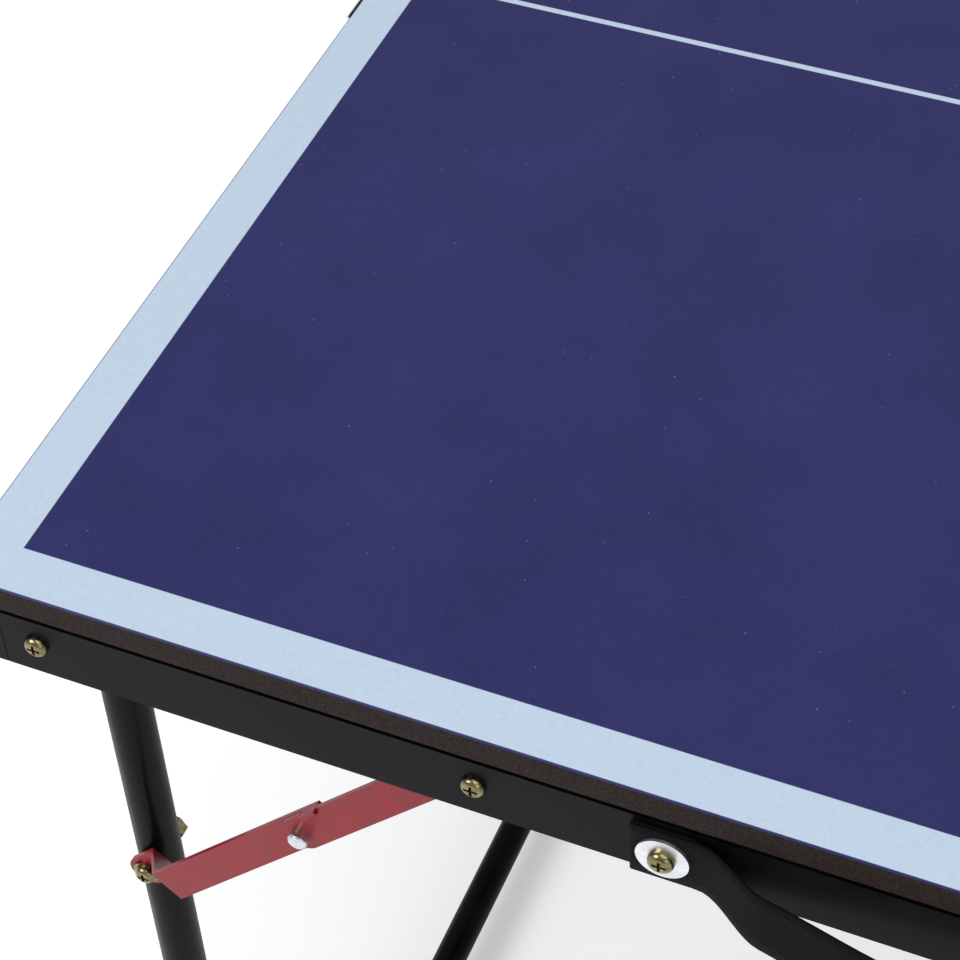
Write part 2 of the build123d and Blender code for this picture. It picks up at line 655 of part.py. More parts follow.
def latch_rivet_planes():
    z = latch_z + LATCH_TALL / 2 - 4.0
    return [Plane(origin=(-latch_face, y, z), z_dir=(-1, 0, 0))
            for y in (-LATCH_WIDE * 0.28, LATCH_WIDE * 0.28)]


def make_latch_base():
    wide = LATCH_WIDE / 2
    with BuildPart() as base:
        box_between((-latch_face, -wide, latch_z - LATCH_TALL / 2),
                    (-end_x, wide, latch_z + LATCH_TALL / 2))
        for s in (-1, 1):
            with BuildSketch(Plane.XZ.offset(-s * (wide - LATCH_SHEET / 2) - LATCH_SHEET / 2)):
                with Locations((-(latch_face + latch_pin_x) / 2, latch_pin_z)):
                    Rectangle(latch_pin_x - latch_face, LATCH_EAR)
                with Locations((-latch_pin_x, latch_pin_z)):
                    Circle(LATCH_EAR / 2)
                    Circle(LATCH_PIN_D / 2, mode=Mode.SUBTRACT)
            extrude(amount=LATCH_SHEET)
        with Locations(*latch_rivet_planes()):
            Cylinder(1.6, 4 * LATCH_SHEET, mode=Mode.SUBTRACT)
    save(base.part, "latch_base")

    with BuildPart() as rivets:
        for plane in latch_rivet_planes():
            with BuildSketch(plane):
                Circle(2.8)
            extrude(amount=1.2)
            with BuildSketch(plane):
                Circle(1.6)
            extrude(amount=-LATCH_SHEET)
    save(rivets.part, "latch_rivets")

    with BuildPart() as pin:
        with Locations(Plane(origin=(-latch_pin_x, 0, latch_pin_z), z_dir=(0, 1, 0))):
            Cylinder(LATCH_PIN_D / 2, LATCH_WIDE + 1.6)
    save(pin.part, "latch_pin")


def make_latch_lever():
    """A plate curled out at its upper end, with two cheeks and slots for the bail's legs."""
    cheek = LATCH_WIDE / 2 - LATCH_SHEET - SIDE_GAP
    inner = -(bail_x + BAIL_WIRE_D / 2 + SIDE_GAP)
    outer = inner - LATCH_SHEET
    low = latch_pin_z - LEVER_TAIL
    bend = latch_pin_z + 11.5
    tip = latch_pin_z + 18.5
    with BuildPart() as lever:
        with BuildSketch(Plane.XZ.offset(cheek)):
            with BuildLine():
                Line((inner, low), (inner, bend))
                ThreePointArc((inner, bend), (inner - 1.0, bend + 4.2), (inner - 3.4, tip))
                Line((inner - 3.4, tip), (outer - 3.1, tip - 1.0))
                ThreePointArc((outer - 3.1, tip - 1.0), (outer - 0.9, bend + 3.6), (outer, bend))
                Line((outer, bend), (outer, low))
                Line((outer, low), (inner, low))
            make_face()
        extrude(amount=-2 * cheek)
        slot_in = cheek - LATCH_SHEET - 2 * SIDE_GAP - BAIL_WIRE_D
        for s in (-1, 1):
            box_between((outer - 1, s * slot_in, low - 1),
                        (inner + 1, s * (cheek - LATCH_SHEET), bail_top_z + BAIL_WIRE_D / 2 + SIDE_GAP),
                        mode=Mode.SUBTRACT)
        back = latch_face + SIDE_GAP
        for s in (-1, 1):
            with BuildSketch(Plane.XZ.offset(-s * (cheek - LATCH_SHEET / 2) - LATCH_SHEET / 2)):
                with Locations(((inner - back) / 2, (low + bend) / 2)):
                    Rectangle(-inner - back, bend - low)
                with Locations((-latch_pin_x, latch_pin_z)):
                    Circle(LATCH_PIN_D / 2 + RUN_CLEAR, mode=Mode.SUBTRACT)
                with Locations((-bail_x, bail_top_z)):
                    Circle(BAIL_WIRE_D / 2 + RUN_CLEAR, mode=Mode.SUBTRACT)
            extrude(amount=LATCH_SHEET)
        # cheeks are cut back where they would reach the rail as the lever opens
        with BuildSketch(Plane.XZ.offset(LATCH_WIDE)):
            with Locations((-latch_pin_x, latch_pin_z)):
                Rectangle(4 * LATCH_TALL, 4 * LATCH_TALL)
                Circle(latch_pin_x - back, mode=Mode.SUBTRACT)
            with Locations((-latch_pin_x - 2 * LATCH_TALL, latch_pin_z)):
                Rectangle(4 * LATCH_TALL, 4 * LATCH_TALL, mode=Mode.SUBTRACT)
        extrude(amount=-2 * LATCH_WIDE, mode=Mode.SUBTRACT)
    save(lever.part, "latch_lever")


def make_latch_bail():
    """Wire loop hooked into the lever's cheeks."""
    ends = LATCH_WIDE / 2 - LATCH_SHEET - SIDE_GAP
    legs = ends - LATCH_SHEET - SIDE_GAP - BAIL_WIRE_D / 2
    with BuildPart() as bail:
        with BuildLine() as path:
            FilletPolyline(
                (-bail_x, -ends, bail_top_z), (-bail_x, -legs, bail_top_z),
                (-bail_x, -legs, bail_foot_z), (-bail_x, legs, bail_foot_z),
                (-bail_x, legs, bail_top_z), (-bail_x, ends, bail_top_z), radius=1.4,
            )
        with BuildSketch(Plane(origin=(-bail_x, -ends, bail_top_z), z_dir=(0, 1, 0))):
            Circle(BAIL_WIRE_D / 2)
        sweep(path=path.line)
    save(bail.part, "latch_bail")


def make_latch_strike():
    """Hooked plate on the other half's end, which the bail pulls against."""
    wide = STRIKE_WIDE / 2
    lip = bail_x + BAIL_WIRE_D / 2 + SIDE_GAP
    with BuildPart() as strike:
        box_between((-latch_face, -wide, latch_z - LATCH_TALL / 2 + 1),
                    (-end_x, wide, latch_z + LATCH_TALL / 2 - 1))
        with BuildSketch(Plane.XZ.offset(wide)):
            with BuildLine():
                Polyline(
                    (-latch_face, shelf_z - STRIKE_SHEET), (-lip - STRIKE_SHEET, shelf_z - STRIKE_SHEET),
                    (-lip - STRIKE_SHEET, shelf_z + STRIKE_LIP), (-lip, shelf_z + STRIKE_LIP),
                    (-lip, shelf_z), (-latch_face, shelf_z), close=True,
                )
            make_face()
        extrude(amount=-STRIKE_WIDE)
        fillet(strike.edges().filter_by(Axis.Y).sort_by(Axis.X)[0], 1.2)
    save(strike.part, "latch_strike", "right")


# ---------------------------------------------------------------- net set
post_y = half_wide + POST_OUT
plate_y = half_wide + BRACKET_GAP              # inner face of a bracket's plate
thumb_z = foot_z + RAIL_TALL * 0.5
net_z = top_z + NET_LIFT


def make_net_set():
    outer_y = plate_y + BRACKET_SHEET
    socket_r = POST_D / 2 + POST_WALL
    socket_z = foot_z + 3
    with BuildPart() as bracket:
        box_between((-BRACKET_LONG, -outer_y, socket_z), (-2, -plate_y, top_z + BRACKET_SHEET))
        box_between((-BRACKET_LONG, -outer_y, top_z),
                    (-LIP_FROM_SPLIT, -(half_wide - BRACKET_LIP), top_z + BRACKET_SHEET))
        with BuildSketch(Plane.XY.offset(socket_z)):
            with Locations((0, -post_y)):
                Circle(socket_r)
            with Locations((-socket_r / 2 - 1, -(outer_y + post_y) / 2)):
                Rectangle(socket_r - 2, post_y - outer_y)
        extrude(amount=top_z + BRACKET_SHEET - socket_z)
        with BuildSketch(Plane.XY.offset(socket_z + 3)):
            with Locations((0, -post_y)):
                Circle(POST_D / 2)
        extrude(amount=TABLE_HEIGHT, mode=Mode.SUBTRACT)
        with BuildSketch(outward(-THUMB_FROM_SPLIT, outer_y + 1, thumb_z)):
            Circle(THUMB_D / 2 + RUN_CLEAR)
        extrude(amount=-BRACKET_SHEET - 2, mode=Mode.SUBTRACT)
    save(bracket.part, "net_brackets", both_sides=True)

    with BuildPart() as post:
        base_z = socket_z + 3
        with BuildSketch(Plane.XY.offset(base_z)):
            with Locations((0, -post_y)):
                Circle(POST_D / 2)
        extrude(amount=net_z + NET_TALL + 8 - base_z)
        fillet(post.edges().filter_by(GeomType.CIRCLE).sort_by(Axis.Z)[-1], 4.0)
    save(post.part, "net_posts", both_sides=True)

    knob_y = outer_y + SIDE_GAP
    with BuildPart() as screw:
        with BuildSketch(outward(-THUMB_FROM_SPLIT, knob_y, thumb_z)):
            Circle(THUMB_KNOB_D / 2 - 1.5)
            with PolarLocations(THUMB_KNOB_D / 2 - 2.4, 12):
                Circle(2.2)
        extrude(amount=THUMB_KNOB_TALL)
        with BuildSketch(outward(-THUMB_FROM_SPLIT, knob_y, thumb_z)):
            Circle(THUMB_D / 2)
        extrude(amount=-(knob_y - web_y) - 5)
    save(screw.part, "net_thumb_screw_near")
    save(screw.part.mirror(Plane.XZ), "net_thumb_screw_far")

    with BuildPart() as net:
        reach = post_y - POST_D / 2 - SIDE_GAP / 2
        box_between((-NET_THICK / 2, -reach, net_z), (NET_THICK / 2, reach, net_z + NET_TALL))
    save(net.part, "net")


for name in HALVES:
    make_board(name)
    make_side_rail(name)
    make_end_rail(name)
    make_cross_rail(name)
    make_wood_screws(name)
    make_leg_frame(name)
    make_leg_plugs(name)
    make_feet(name)
    make_leg_bolts(name)
    for edge in ("near", "far"):
        make_stay(name, edge)
    make_stay_bolts(name)
    make_sleeves(name)
    make_link_pins(name)
make_centre_links()
make_handle()
make_latch_base()
make_latch_lever()
make_latch_bail()
make_latch_strike()
make_net_set()
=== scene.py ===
# %% [markdown]
# A ping pong table that folds in half like a suitcase. The rails, legs, stays, screws and
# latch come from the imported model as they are. This script gives them their finishes and
# adds what bends: the webbing handle, the knotted net and its tape.

# %% Load the frame
import json
import math

import bmesh
import bpy
from mathutils import Matrix, Quaternion, Vector


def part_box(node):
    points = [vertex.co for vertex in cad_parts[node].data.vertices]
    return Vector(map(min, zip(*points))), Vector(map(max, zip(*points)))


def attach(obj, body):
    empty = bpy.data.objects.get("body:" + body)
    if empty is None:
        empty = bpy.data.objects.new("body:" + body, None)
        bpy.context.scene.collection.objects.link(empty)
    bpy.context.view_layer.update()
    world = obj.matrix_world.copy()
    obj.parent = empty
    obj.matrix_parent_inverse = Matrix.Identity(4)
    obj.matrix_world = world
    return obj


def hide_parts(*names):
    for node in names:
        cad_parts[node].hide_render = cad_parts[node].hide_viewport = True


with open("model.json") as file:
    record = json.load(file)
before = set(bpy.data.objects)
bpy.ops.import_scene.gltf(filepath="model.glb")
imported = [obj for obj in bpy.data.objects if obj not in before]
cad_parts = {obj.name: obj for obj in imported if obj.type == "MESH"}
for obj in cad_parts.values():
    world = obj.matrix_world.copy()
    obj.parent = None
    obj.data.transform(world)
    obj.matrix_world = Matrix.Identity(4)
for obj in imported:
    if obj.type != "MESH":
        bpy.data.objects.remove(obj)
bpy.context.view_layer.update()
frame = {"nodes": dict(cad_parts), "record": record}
nodes = frame["nodes"]

# %% [markdown]
# The camera stands to the right of the near left corner and looks down at it steeply, with a
# long lens, so that the corner, the first leg and its stay fill the view. It leans a little
# to the right, as a hand-held camera does.

# %% Camera
MM = 0.001
half_long = 762 * MM
half_wide = 381 * MM
surface_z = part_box("left_board")[1][2]

camera_data = bpy.data.cameras.new("camera")
camera_data.lens = 99.4
camera_data.sensor_width = 36
camera_data.clip_end = 50
camera = bpy.data.objects.new("camera", camera_data)
bpy.context.scene.collection.objects.link(camera)
camera.location = (-0.3154, -0.8698, 1.4142)
target = Vector((-0.5998, -0.2705, surface_z))
lean = Quaternion((0, 0, 1), math.radians(-3.3))
camera.rotation_mode = "QUATERNION"
camera.rotation_quaternion = (target - camera.location).to_track_quat("-Z", "Y") @ lean
bpy.context.scene.camera = camera
bpy.context.scene.view_settings.view_transform = "Standard"
print("camera", tuple(camera.location))

# %% [markdown]
# A studio table-top set: a pale sweep for a floor, an even white surround, one large soft
# light at the near left, a weaker one opposite, and a broad one overhead. None of them
# stands where the playing surface would mirror it into the camera, so the navy stays deep.

# %% Stage and lights
def area_light(name, place, aim, size, power, tint=(1, 1, 1)):
    """A soft box at place, turned to aim."""
    data = bpy.data.lights.new(name, "AREA")
    data.size = size
    data.energy = power
    data.color = tint
    light = bpy.data.objects.new(name, data)
    light.location = place
    light.rotation_mode = "QUATERNION"
    light.rotation_quaternion = (Vector(aim) - Vector(place)).to_track_quat("-Z", "Y")
    bpy.context.scene.collection.objects.link(light)
    return light


world = bpy.data.worlds.new("surround")
world.use_nodes = True
background = world.node_tree.nodes["Background"].inputs
background["Color"].default_value = (0.93, 0.96, 1.0, 1)
background["Strength"].default_value = 0.5
bpy.context.scene.world = world
area_light("key", (-2.4, -1.9, 2.6), (-0.5, -0.2, 0.6), 1.6, 46)
area_light("fill", (1.6, -2.4, 1.8), (-0.4, -0.3, 0.5), 2.0, 14, (1, 0.98, 0.96))
area_light("top", (0.4, -0.6, 3.6), (-0.4, 0.1, 0), 2.6, 40)

floor_reach = 40             # metres each way, so its edge stays out of most views
floor_drop = 0.2 * MM        # clear of the feet, so no faces coincide
floor_mesh = bmesh.new()
bmesh.ops.create_grid(floor_mesh, x_segments=1, y_segments=1, size=floor_reach)
floor_data = bpy.data.meshes.new("floor")
floor_mesh.to_mesh(floor_data)
floor_mesh.free()
floor = bpy.data.objects.new("floor", floor_data)
floor.location.z = -floor_drop
bpy.context.scene.collection.objects.link(floor)

# %% [markdown]
# Every finish is a Principled shader with small procedural patterns. Colours are written as
# sRGB hex and turned linear by one function, and one function adds a node with its settings
# and links, so that each material below reads as a short list.

# %% Colour and node helpers
def colour(code):
    """A hex sRGB colour as linear RGBA."""
    parts = [int(code[i:i + 2], 16) / 255 for i in (0, 2, 4)]
    linear = [c / 12.92 if c <= 0.04045 else ((c + 0.055) / 1.055) ** 2.4 for c in parts]
    return (*linear, 1.0)


def add(tree, kind, links=None, **settings):
    """Add a node. settings are its properties, links its inputs: values or other outputs."""
    node = tree.nodes.new(kind)
    for name, value in settings.items():
        setattr(node, name, value)
    for socket, value in (links or {}).items():
        if isinstance(value, bpy.types.NodeSocket):
            tree.links.new(value, node.inputs[socket])
        else:
            node.inputs[socket].default_value = value
    return node


def finish(name, **shader):
    """A new material: returns it with its tree, its shader and object coordinates."""
    material = bpy.data.materials.new(name)
    material.use_nodes = True
    tree = material.node_tree
    surface = tree.nodes["Principled BSDF"]
    for socket, value in shader.items():
        surface.inputs[socket.replace("_", " ")].default_value = value
    place = tree.nodes.new("ShaderNodeTexCoord")
    return material, tree, surface, place


def mix(tree, factor, first, second):
    """Mix two colours, given as outputs or values."""
    node = add(tree, "ShaderNodeMix", data_type="RGBA")
    for socket, value in ((0, factor), (6, first), (7, second)):
        if isinstance(value, bpy.types.NodeSocket):
            tree.links.new(value, node.inputs[socket])
        else:
            node.inputs[socket].default_value = value
    return node.outputs[2]


def noise(tree, place, millimetres, detail=2.0, rough=0.5):
    """Noise whose lumps are about the given size."""
    return add(tree, "ShaderNodeTexNoise", {"Vector": place.outputs["Object"],
               "Scale": 1 / (millimetres * MM), "Detail": detail, "Roughness": rough})


def step_between(tree, value, low, high, start=0.0, end=1.0):
    """Rise from start to end as value goes from low to high."""
    return add(tree, "ShaderNodeMapRange", {"Value": value, "From Min": low, "From Max": high,
               "To Min": start, "To Max": end}).outputs["Result"]


def calc(tree, operation, first, second=0.0):
    """One sum on values or outputs."""
    return add(tree, "ShaderNodeMath", {0: first, 1: second}, operation=operation).outputs[0]


def bump(tree, surface, height, depth_mm, strength=1.0):
    """Raise the surface by height times depth."""
    node = add(tree, "ShaderNodeBump", {"Height": height, "Strength": strength,
               "Distance": depth_mm * MM})
    tree.links.new(node.outputs["Normal"], surface.inputs["Normal"])


# %% [markdown]
# The playing surface is fibreboard under rolled navy paint, screen-printed with a white
# border and a thin centre line. The paint is satin, faintly mottled, with pale dust specks
# and a little orange peel. The print stops just short of the edge, so a thin blue lip
# shows. The sawn edge is sealed dark and duller; its fibres show as a reddish-brown speckle
# whose lightness is a painted highlight. One material does all of it from object
# coordinates, because the lines run across both boards.

# %% Painted board
def painted_board():
    border, lip, half_line = 20.5 * MM, 0.7 * MM, 1.5 * MM
    material, tree, surface, place = finish("painted_fibreboard", Specular_IOR_Level=0.28)
    axes = add(tree, "ShaderNodeSeparateXYZ", {0: place.outputs["Object"]}).outputs
    facing = add(tree, "ShaderNodeSeparateXYZ", {0: place.outputs["Normal"]}).outputs[2]
    from_end = calc(tree, "SUBTRACT", half_long, calc(tree, "ABSOLUTE", axes[0]))
    across = calc(tree, "ABSOLUTE", axes[1])
    from_side = calc(tree, "SUBTRACT", half_wide, across)
    inward = calc(tree, "MINIMUM", from_end, from_side)
    soft = 0.15 * MM         # half the width of the print's edge
    in_border = step_between(tree, inward, border - soft, border + soft, 1, 0)
    past_lip = step_between(tree, inward, lip - soft, lip + soft)
    on_line = step_between(tree, across, half_line - soft, half_line + soft, 1, 0)
    printed = calc(tree, "MULTIPLY", calc(tree, "MAXIMUM", in_border, on_line), past_lip)

    cloud = noise(tree, place, 60, 4, 0.6).outputs["Fac"]
    grain = noise(tree, place, 1.6, 3, 0.7).outputs["Fac"]
    navy = mix(tree, step_between(tree, cloud, 0.35, 0.68), colour("232457"), colour("2A2B60"))
    navy = mix(tree, step_between(tree, grain, 0.45, 0.75, 0, 0.35), navy, colour("313368"))
    specks = add(tree, "ShaderNodeTexVoronoi", {"Vector": place.outputs["Object"], "Scale": 110},
                 feature="F1")
    speck = step_between(tree, specks.outputs["Distance"], 0.025, 0.045, 0.45, 0)
    # The print is white; its pale blue-grey tone is a painted reflection of the surroundings, and
    # its grain is real.
    print_and_painted_reflection = mix(tree, step_between(tree, grain, 0.3, 0.8), colour("B4C4D6"), colour("BFCEDE"))
    top = mix(tree, printed, mix(tree, speck, navy, colour("8587B4")), print_and_painted_reflection)

    fibre = noise(tree, place, 0.9, 4, 0.75).outputs["Fac"]
    # Dark sealed fibres are real; the reddish-brown speckle mixed over them is a painted
    # highlight.
    edge_and_highlight = mix(tree, step_between(tree, fibre, 0.38, 0.72), colour("0C0807"), colour("35261F"))
    underside = mix(tree, step_between(tree, fibre, 0.3, 0.8), colour("231F1E"), colour("3D3531"))
    is_top = step_between(tree, facing, 0.4, 0.6)
    is_under = step_between(tree, facing, -0.6, -0.4, 1, 0)
    base = mix(tree, is_under, mix(tree, is_top, edge_and_highlight, top), underside)
    tree.links.new(base, surface.inputs["Base Color"])
    tree.links.new(calc(tree, "ADD", 0.06, calc(tree, "MULTIPLY", is_top, 0.2)),
                   surface.inputs["Specular IOR Level"])
    tree.links.new(step_between(tree, grain, 0.2, 0.8, 0.36, 0.5), surface.inputs["Roughness"])
    peel = noise(tree, place, 2.6, 2, 0.5).outputs["Fac"]
    bump(tree, surface, peel, 0.04, 0.35)
    return material


# %% [markdown]
# The rails, legs, cross rails and net brackets are steel in one black stoving enamel: even,
# with a fine orange peel and a few rubbed specks. A trace of clear coat keeps its
# reflections faint but sharp.

# %% Black enamel
def black_enamel(name, roughness, peel_depth):
    material, tree, surface, place = finish(name, Specular_IOR_Level=0.045, Coat_Weight=0.035)
    surface.inputs["Coat Roughness"].default_value = 0.1
    dust = noise(tree, place, 0.7, 4, 0.8).outputs["Fac"]
    cloud = noise(tree, place, 35, 3, 0.6).outputs["Fac"]
    base = mix(tree, step_between(tree, cloud, 0.3, 0.7), colour("060607"), colour("0C0C0E"))
    base = mix(tree, step_between(tree, dust, 0.68, 0.8, 0, 0.35), base, colour("4A4A4D"))
    tree.links.new(base, surface.inputs["Base Color"])
    tree.links.new(step_between(tree, cloud, 0.3, 0.7, roughness, roughness + 0.1),
                   surface.inputs["Roughness"])
    bump(tree, surface, noise(tree, place, 1.8, 2).outputs["Fac"], peel_depth, 0.5)
    return material


# %% [markdown]
# The stays are pressed steel strip in red enamel. It is thin at the sheared edges and
# thicker on the flats; the red varies in soft patches of tone and roughness and shows small
# chips.

# %% Red enamel
def red_enamel():
    material, tree, surface, place = finish("red_enamel", Specular_IOR_Level=0.2,
                                            Coat_Weight=0.06)
    cloud = noise(tree, place, 9, 4, 0.65).outputs["Fac"]
    chip = noise(tree, place, 0.9, 5, 0.8).outputs["Fac"]
    base = mix(tree, step_between(tree, cloud, 0.32, 0.7), colour("7A0D18"), colour("8E1421"))
    base = mix(tree, step_between(tree, chip, 0.7, 0.78, 0, 0.7), base, colour("5A2A2A"))
    tree.links.new(base, surface.inputs["Base Color"])
    tree.links.new(step_between(tree, cloud, 0.3, 0.7, 0.3, 0.44), surface.inputs["Roughness"])
    bump(tree, surface, noise(tree, place, 1.4, 2).outputs["Fac"], 0.05, 0.5)
    return material


# %% [markdown]
# Plated steel: yellow zinc on bolts, nuts, pins and screws, which shifts between straw and
# a greenish film; clear zinc on washers and links; bright zinc on the stays' rivets; nickel
# on the latch. All are metal, and differ in colour, film and roughness. The yellow zinc's
# straw and green are darkened as a painted reflection of dark surroundings.

# %% Plated steel
def plated(name, light, dark, film, roughness):
    material, tree, surface, place = finish(name, Metallic=1.0)
    patch = noise(tree, place, 3.5, 4, 0.6).outputs["Fac"]
    stain = noise(tree, place, 1.1, 3, 0.7).outputs["Fac"]
    base = mix(tree, step_between(tree, patch, 0.3, 0.7), colour(light), colour(dark))
    base = mix(tree, step_between(tree, stain, 0.5, 0.75, 0, 0.55), base, colour(film))
    tree.links.new(base, surface.inputs["Base Color"])
    tree.links.new(step_between(tree, stain, 0.25, 0.8, roughness - 0.06, roughness + 0.14),
                   surface.inputs["Roughness"])
    bump(tree, surface, stain, 0.03, 0.5)
    return material


# %% [markdown]
# Moulded nylon and rubber are dull and even, with the fine texture of a spark-eroded mould.

# %% Moulded parts
def moulded(name, code, roughness, texture_mm):
    material, tree, surface, place = finish(name)
    fine = noise(tree, place, texture_mm, 3, 0.6).outputs["Fac"]
    base = colour(code)
    worn = tuple(min(1.0, c * 1.9 + 0.006) for c in base[:3]) + (1.0,)
    tree.links.new(mix(tree, step_between(tree, fine, 0.4, 0.75), base, worn),
                   surface.inputs["Base Color"])
    tree.links.new(step_between(tree, fine, 0.3, 0.7, roughness - 0.05, roughness + 0.08),
                   surface.inputs["Roughness"])
    bump(tree, surface, fine, 0.06, 0.6)
    return material


# %% [markdown]
# Woven goods. The handle is polypropylene webbing: fine slanting ribs 1.25 mm apart, with a
# weaker pick across them. They follow the strap, so they read its own UV map, which holds
# millimetres along and across. The net's cord has no UV map, so it shows lint but no ribs.

# %% Woven goods
def webbing(name, dark, light, rib_mm, lean):
    material, tree, surface, place = finish(name, Roughness=0.75, Specular_IOR_Level=0.08,
                                            Sheen_Weight=0.01)
    surface.inputs["Sheen Roughness"].default_value = 0.4
    flat = add(tree, "ShaderNodeSeparateXYZ", {0: place.outputs["UV"]}).outputs
    slant = calc(tree, "ADD", flat[0], calc(tree, "MULTIPLY", flat[1], lean))
    wave = calc(tree, "SINE", calc(tree, "MULTIPLY", slant, 2 * math.pi / rib_mm))
    pick = calc(tree, "SINE", calc(tree, "MULTIPLY", flat[1], 2 * math.pi / (rib_mm * 1.5)))
    woven = calc(tree, "ADD", wave, calc(tree, "MULTIPLY", pick, 0.35))
    rib = step_between(tree, woven, -1.35, 1.35)
    lint = noise(tree, place, 0.6, 3, 0.8).outputs["Fac"]
    base = mix(tree, rib, colour(dark), colour(light))
    base = mix(tree, step_between(tree, lint, 0.64, 0.8, 0, 0.25), base, colour("4A4A4C"))
    tree.links.new(base, surface.inputs["Base Color"])
    bump(tree, surface, rib, 0.35, 0.9)
    return material


# %% Dress every part from the model
FINISHES = {
    "painted_board": painted_board(),
    "black_steel": black_enamel("black_stoving_enamel", 0.3, 0.05),
    "black_plastic": moulded("moulded_nylon", "1A1A1B", 0.45, 0.8),
    "foot_rubber": moulded("moulded_rubber", "161616", 0.8, 0.5),
    # Yellow zinc: the straw and green film are the plating's own, darkened as a painted
    # reflection of dark surroundings.
    "yellow_zinc": plated("yellow_zinc_with_painted_dark_reflection", "9C9068", "574F36", "4E5A3C", 0.13),
    "zinc_steel": plated("clear_zinc_plating", "E4E6E8", "C9CDD1", "B9BCC4", 0.34),
    "bright_steel": plated("bright_zinc_plating", "DADCE0", "B8BBC0", "A0A3A8", 0.24),
    "nickel_steel": plated("nickel_plating", "DCD9D2", "C6C2B8", "AFA99C", 0.2),
    "red_steel": red_enamel(),
    "black_webbing": webbing("polypropylene_webbing", "020202", "151517", 1.25, 0.35),
    "net_mesh": webbing("braided_nylon_cord", "10151D", "2A3442", 1.5, 1.0),
}
slots = {s["node"]: s["material_slot"] for s in frame["record"]["subparts"]}
for name, node in nodes.items():
    node.data.materials.clear()
    node.data.materials.append(FINISHES[slots[name]])
print("dressed", len(nodes), "parts with", len(FINISHES), "finishes")
paper, _, paper_surface, _ = finish("pale_paper_sweep", Roughness=0.9)
paper_surface.inputs["Base Color"].default_value = colour("FAFAFB")
paper_surface.inputs["Emission Color"].default_value = (1, 1, 1, 1)
paper_surface.inputs["Emission Strength"].default_value = 0.28
floor.data.materials.append(paper)

# %% [markdown]
# Webbing and tape are ribbons: a strip that follows a line and keeps its width. A flat grid
# is bent along the line, one column of points for each stop, then given its thickness by a
# solidify modifier. The UV map holds millimetres, so that the weave follows the strip.

# %% Ribbon builder
def ribbon(name, stops, sides, thickness, rows=6):
    """A strip through stops; sides are half-width vectors at each stop."""
    mesh = bmesh.new()
    count = len(stops)
    bmesh.ops.create_grid(mesh, x_segments=count - 1, y_segments=rows, size=1)
    run = [0.0]
    for a, b in zip(stops, stops[1:]):
        run.append(run[-1] + (b - a).length)
    uv = mesh.loops.layers.uv.new("weave")
    spots = {}
    for vertex in mesh.verts:
        column = round((vertex.co.x + 1) / 2 * (count - 1))
        part = vertex.co.y
        spots[vertex] = (run[column] / MM, part * sides[column].length / MM)
        vertex.co = stops[column] + sides[column] * part
    for face in mesh.faces:
        for loop in face.loops:
            loop[uv].uv = spots[loop.vert]
    bmesh.ops.recalc_face_normals(mesh, faces=mesh.faces)
    data = bpy.data.meshes.new(name)
    mesh.to_mesh(data)
    mesh.free()
    piece = bpy.data.objects.new(name, data)
    bpy.context.scene.collection.objects.link(piece)
    solid = piece.modifiers.new("thickness", "SOLIDIFY")
    solid.thickness = thickness
    solid.offset = 0
    for polygon in data.polygons:
        polygon.use_smooth = True
    print(name, "is", round(run[-1] / MM), "mm long")
    return piece


# %% [markdown]
# The handle is one length of webbing. Each end is turned under itself and screwed to the
# rail through a washer. Between the screws it is longer than the gap, so it bows out from
# the rail, sags, and turns its face up a little.

# %% Handle strap
WEB = 1.0 * MM
WASHER_R = 9.75 * MM
strap_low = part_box("handle_strap")[0]
washers_low, washers_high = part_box("handle_washers")
screw_xs = (washers_low[0] + WASHER_R, washers_high[0] - WASHER_R)
strap_z = (washers_low[2] + washers_high[2]) / 2
rail_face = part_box("left_near_rail")[0][1]
inner_out, outer_out = 0.7 * MM, 1.85 * MM    # the two layers' middles, out from the rail
lap = 12.3 * MM                               # folded end, past the screw
tail = 11 * MM                                # and each layer on the screw's other side
layer = lap + 10 * MM                         # flat length of each layer
bow_past_screw = 12 * MM
bow_out = rail_face - strap_low[1] - 3.2 * MM
sag = 21 * MM
layer_steps, fold_steps, bow_steps = 7, 8, 72
leave_share = 0.14                            # of the span, over which the strap leaves
flank, crown = 0.3, 0.2                       # shares of the bow at its sides, its middle


def strap_stops():
    """The strap's line from the tail under the left screw to the tail under the right."""
    first, last = screw_xs
    bow_start, bow_end = first + bow_past_screw, last - bow_past_screw
    stops = []
    for i in range(layer_steps + 1):
        stops.append((first + tail - layer * i / layer_steps, inner_out, 0, 0))
    fold = (outer_out - inner_out) / 2
    for i in range(1, fold_steps):
        angle = math.pi * i / fold_steps
        turn_in = first - lap + MM - fold * math.sin(angle)
        stops.append((turn_in, inner_out + fold * (1 - math.cos(angle)), 0, 0))
    for i in range(layer_steps + 1):
        stops.append((first - lap + MM + layer * i / layer_steps, outer_out, 0, 0))
    folded_end = stops[:]
    for i in range(1, bow_steps):
        t = i / bow_steps
        leave = min(1.0, min(t, 1 - t) / leave_share)
        rise = flank * leave ** 2 * (3 - 2 * leave) + crown * (1 - math.cos(2 * math.pi * t))
        stops.append((bow_start + (bow_end - bow_start) * t, outer_out + bow_out * rise,
                      sag * rise ** 1.1, rise))
    middle = (first + last) / 2
    turned = [(2 * middle - x, out, drop, rise) for x, out, drop, rise in reversed(folded_end)]
    return stops + turned


line = strap_stops()
stops = [Vector((x, rail_face - out, strap_z - drop)) for x, out, drop, _ in line]
half_web = 13 * MM
twist = math.radians(14)
sides = [Vector((0, math.sin(twist * rise) * half_web, math.cos(twist * rise) * half_web))
         for *_, rise in line]
strap = ribbon("handle_webbing", stops, sides, WEB)
strap.data.materials.append(FINISHES["black_webbing"])
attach(strap, "left_half")
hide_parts("handle_strap")

# %% [markdown]
# The net is knotted nylon cord in half-inch squares, stretched between the posts. A flat
# grid is stood up at the middle of the table and the wireframe operator turns every edge
# into a cord. The cotton tape is folded over its top edge, and a hem closes each end.

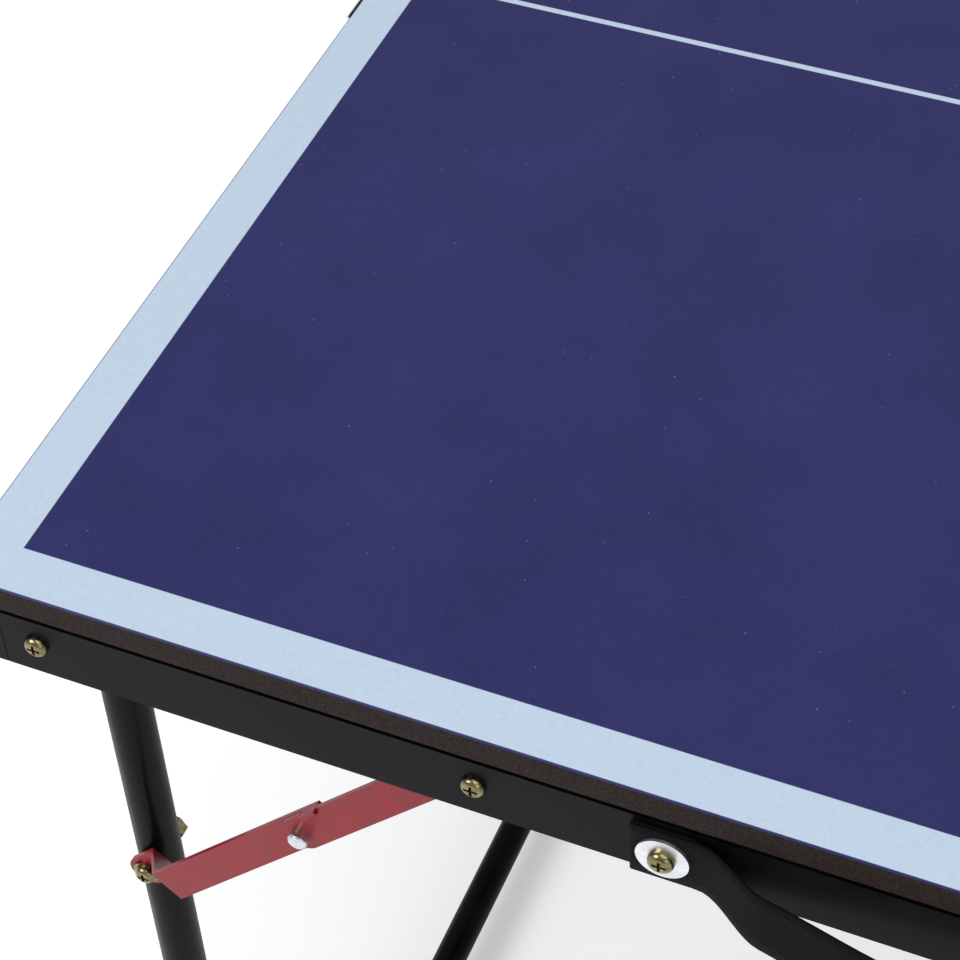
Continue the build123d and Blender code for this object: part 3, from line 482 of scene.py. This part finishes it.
# %% Net
net_low, net_high = (Vector(c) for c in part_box("net"))
NET_PITCH = 12.7 * MM
CORD = 1.4 * MM
tape_tall = 14 * MM
mesh_tall = net_high.z - net_low.z - tape_tall * 0.6    # the mesh ends inside the tape
cells_wide = round((net_high.y - net_low.y) / NET_PITCH)
cells_tall = round(mesh_tall / NET_PITCH)
mesh = bmesh.new()
bmesh.ops.create_grid(mesh, x_segments=cells_wide, y_segments=cells_tall, size=0.5)
upright = Matrix(((0, 0, 1, 0), (1, 0, 0, 0), (0, 1, 0, 0), (0, 0, 0, 1)))
bmesh.ops.transform(mesh, verts=mesh.verts, matrix=upright)
bmesh.ops.scale(mesh, verts=mesh.verts, vec=(1, net_high.y - net_low.y - 2 * MM, mesh_tall))
bmesh.ops.translate(mesh, verts=mesh.verts, vec=(0, 0, net_low.z + mesh_tall / 2 + CORD / 2))
bmesh.ops.wireframe(mesh, faces=mesh.faces, thickness=CORD, use_replace=True,
                    use_boundary=True, use_even_offset=True)
net_data = bpy.data.meshes.new("knotted_net")
mesh.to_mesh(net_data)
mesh.free()
net = bpy.data.objects.new("knotted_net", net_data)
bpy.context.scene.collection.objects.link(net)
net.data.materials.append(FINISHES["net_mesh"])
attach(net, "left_half")
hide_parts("net")

# %% Net tape and end hems
def cotton_tape():
    material, tree, surface, place = finish("woven_cotton_tape", Roughness=0.85, Sheen_Weight=0.2)
    thread_mm = 1.6
    flat = add(tree, "ShaderNodeSeparateXYZ", {0: place.outputs["UV"]}).outputs
    warp = calc(tree, "SINE", calc(tree, "MULTIPLY", flat[0], 2 * math.pi / thread_mm))
    weft = calc(tree, "SINE", calc(tree, "MULTIPLY", flat[1], 2 * math.pi / thread_mm))
    weave = step_between(tree, calc(tree, "MULTIPLY", warp, weft), -1, 1)
    tree.links.new(mix(tree, weave, colour("CFCFC8"), colour("F1F0EA")),
                   surface.inputs["Base Color"])
    bump(tree, surface, weave, 0.2, 0.8)
    return material


tape_finish = cotton_tape()
TAPE = 0.5 * MM
HEM = 1.4 * MM
half_hem = 6 * MM
hem_short = 4 * MM           # hems end this far below the mesh's top, inside the tape
hem_steps = 12
side_steps, fold_steps = 4, 6
fold_r = 0.75 * MM
fold_z = net_high.z - fold_r - 0.3 * MM
ends = (net_low.y + 0.5 * MM, net_high.y - 0.5 * MM)
profile = []
for i in range(side_steps + 1):
    profile.append((-fold_r, net_high.z - tape_tall
                    + (tape_tall - fold_r - 0.3 * MM) * i / side_steps))
for i in range(1, fold_steps):
    angle = math.pi * i / fold_steps
    profile.append((-fold_r * math.cos(angle), fold_z + fold_r * math.sin(angle)))
for x, z in reversed(profile[:side_steps + 1]):
    profile.append((-x, z))
tape_stops = [Vector((x, 0, z)) for x, z in profile]
tape_sides = [Vector((0, ends[1], 0)) for _ in profile]
tape = ribbon("net_top_tape", tape_stops, tape_sides, TAPE, rows=40)
hems = []
for tag, y in (("near", ends[0] + half_hem), ("far", ends[1] - half_hem)):
    hem_stops = [Vector((0, y, net_low.z + (mesh_tall - hem_short) * i / hem_steps))
                 for i in range(hem_steps + 1)]
    hem_sides = [Vector((0, half_hem, 0))] * (hem_steps + 1)
    hems.append(ribbon(f"net_end_hem_{tag}", hem_stops, hem_sides, HEM, rows=2))
for piece in [tape, *hems]:
    piece.data.materials.append(tape_finish)
    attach(piece, "left_half")
